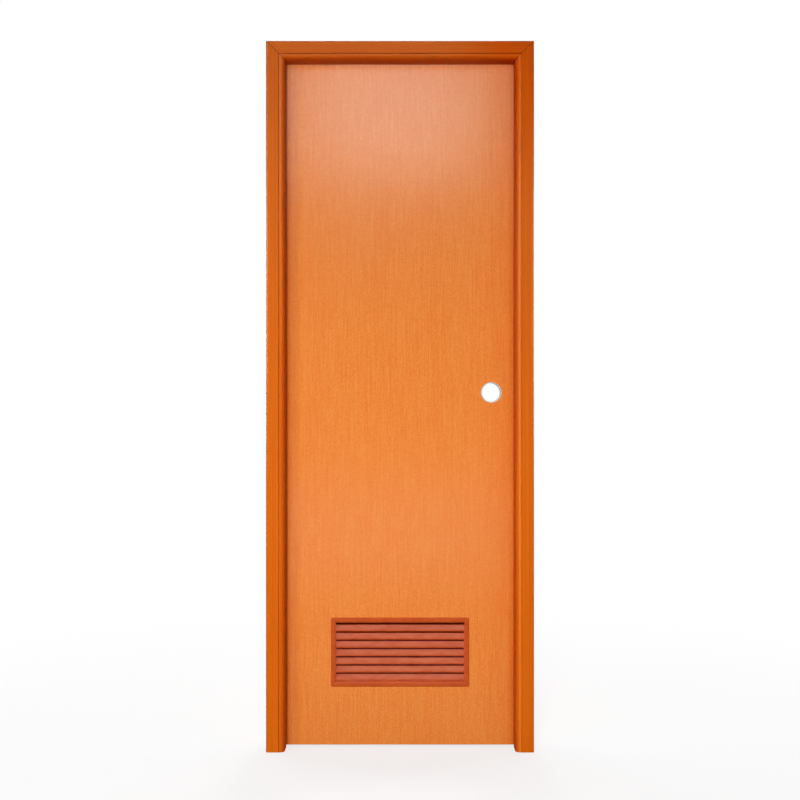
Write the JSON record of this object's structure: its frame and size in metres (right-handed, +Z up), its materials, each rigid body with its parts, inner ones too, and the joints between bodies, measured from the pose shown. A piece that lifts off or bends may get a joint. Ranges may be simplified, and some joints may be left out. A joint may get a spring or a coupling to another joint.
{
  "type": "pvc louvred door",
  "caption": "PVC bathroom door set: mitred hollow frame, flush leaf on butt hinges that swings away from the front, fixed louvre low down and an open pre-drilled lock hole.",
  "frame": {"origin": "on the wall face of the hinge-side jamb, at floor level and the middle of the frame's depth", "axes": "+X across the doorway towards the lock side, +Y from the front face to the back where the leaf opens, +Z up"},
  "size_m": [0.768, 0.1115, 2.038],
  "materials": {
    "frame_pvc": "satin orange-brown PVC",
    "leaf_pvc": "orange-brown PVC with a fine vertical wood grain",
    "louvre_pvc": "moulded terracotta PVC",
    "bore_white": "bare white PVC",
    "hinge_steel": "satin stainless"
  },
  "bodies": {
    "frame": {"hinge_jamb": "frame_pvc", "lock_jamb": "frame_pvc", "head_jamb": "frame_pvc", "bottom_hinge_jamb_plate": "hinge_steel", "middle_hinge_jamb_plate": "hinge_steel", "top_hinge_jamb_plate": "hinge_steel", "bottom_hinge_pin": "hinge_steel", "middle_hinge_pin": "hinge_steel", "top_hinge_pin": "hinge_steel"},
    "leaf": {"front_skin": "leaf_pvc", "back_skin": "leaf_pvc", "hinge_stile": "leaf_pvc", "lock_stile": "leaf_pvc", "top_rail": "leaf_pvc", "bottom_rail": "leaf_pvc", "lock_bore_sleeve": "bore_white", "louvre_front_trim_top": "louvre_pvc", "louvre_front_trim_bottom": "louvre_pvc", "louvre_front_trim_left": "louvre_pvc", "louvre_front_trim_right": "louvre_pvc", "louvre_back_trim_top": "louvre_pvc", "louvre_back_trim_bottom": "louvre_pvc", "louvre_back_trim_left": "louvre_pvc", "louvre_back_trim_right": "louvre_pvc", "louvre_liner_top": "louvre_pvc", "louvre_liner_bottom": "louvre_pvc", "louvre_liner_left": "louvre_pvc", "louvre_liner_right": "louvre_pvc", "louvre_blade_1": "louvre_pvc", "louvre_blade_2": "louvre_pvc", "louvre_blade_3": "louvre_pvc", "louvre_blade_4": "louvre_pvc", "louvre_blade_5": "louvre_pvc", "louvre_blade_6": "louvre_pvc", "louvre_blade_7": "louvre_pvc", "bottom_hinge_leaf_plate": "hinge_steel", "middle_hinge_leaf_plate": "hinge_steel", "top_hinge_leaf_plate": "hinge_steel"}
  },
  "joints": [
    {"name": "door_swing", "type": "hinge", "parent": "frame", "child": "leaf", "pos_m": [0.0405, 0.057, 0], "axis": [0, 0, 1], "range_deg": [0, 175]}
  ]
}
